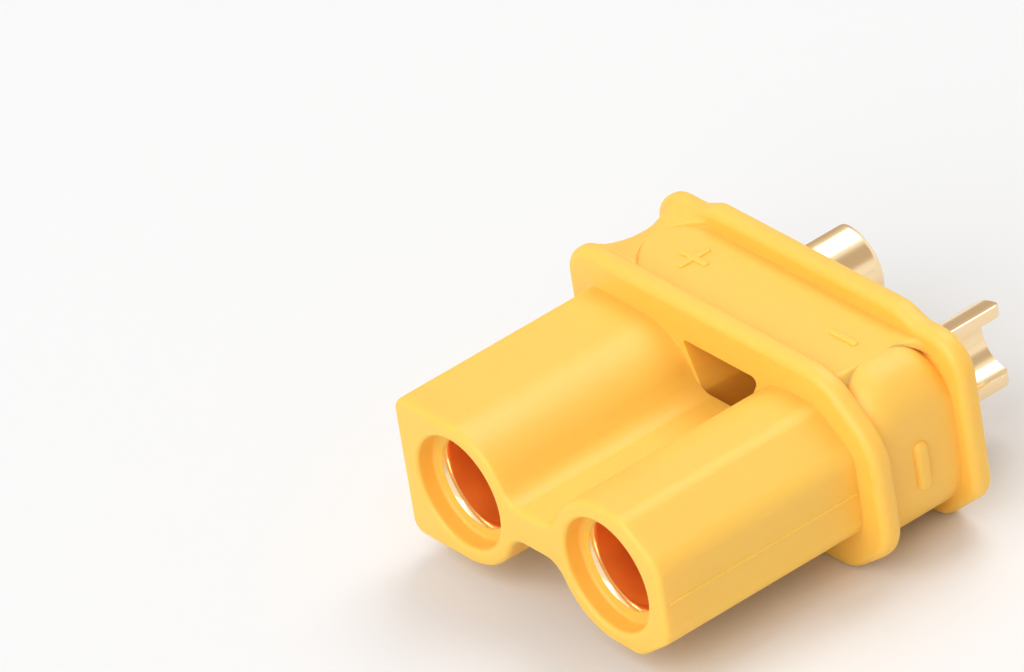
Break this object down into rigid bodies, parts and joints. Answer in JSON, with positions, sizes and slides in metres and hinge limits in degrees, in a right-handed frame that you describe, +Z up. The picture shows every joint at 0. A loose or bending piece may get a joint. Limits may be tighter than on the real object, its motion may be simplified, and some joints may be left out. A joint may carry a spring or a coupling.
{
  "type": "battery lead connector",
  "caption": "Socket half of a keyed battery lead connector: amber moulded housing with a flanged back, gold-plated socket contacts and open solder cups.",
  "frame": {"origin": "middle of the mating face, midway between the two socket axes", "axes": "+X across the poles from the square (positive) barrel to the slanted (negative) one, +Y from the mating face back to the solder cups, +Z up out of the deck"},
  "size_m": [0.0102, 0.0115, 0.0053],
  "materials": {
    "amber_nylon": "fine satin moulded nylon",
    "gold_plating": "bright gold plating on brass"
  },
  "bodies": {
    "root": {"housing": "amber_nylon", "contact_positive": "gold_plating", "contact_negative": "gold_plating"}
  },
  "joints": []
}
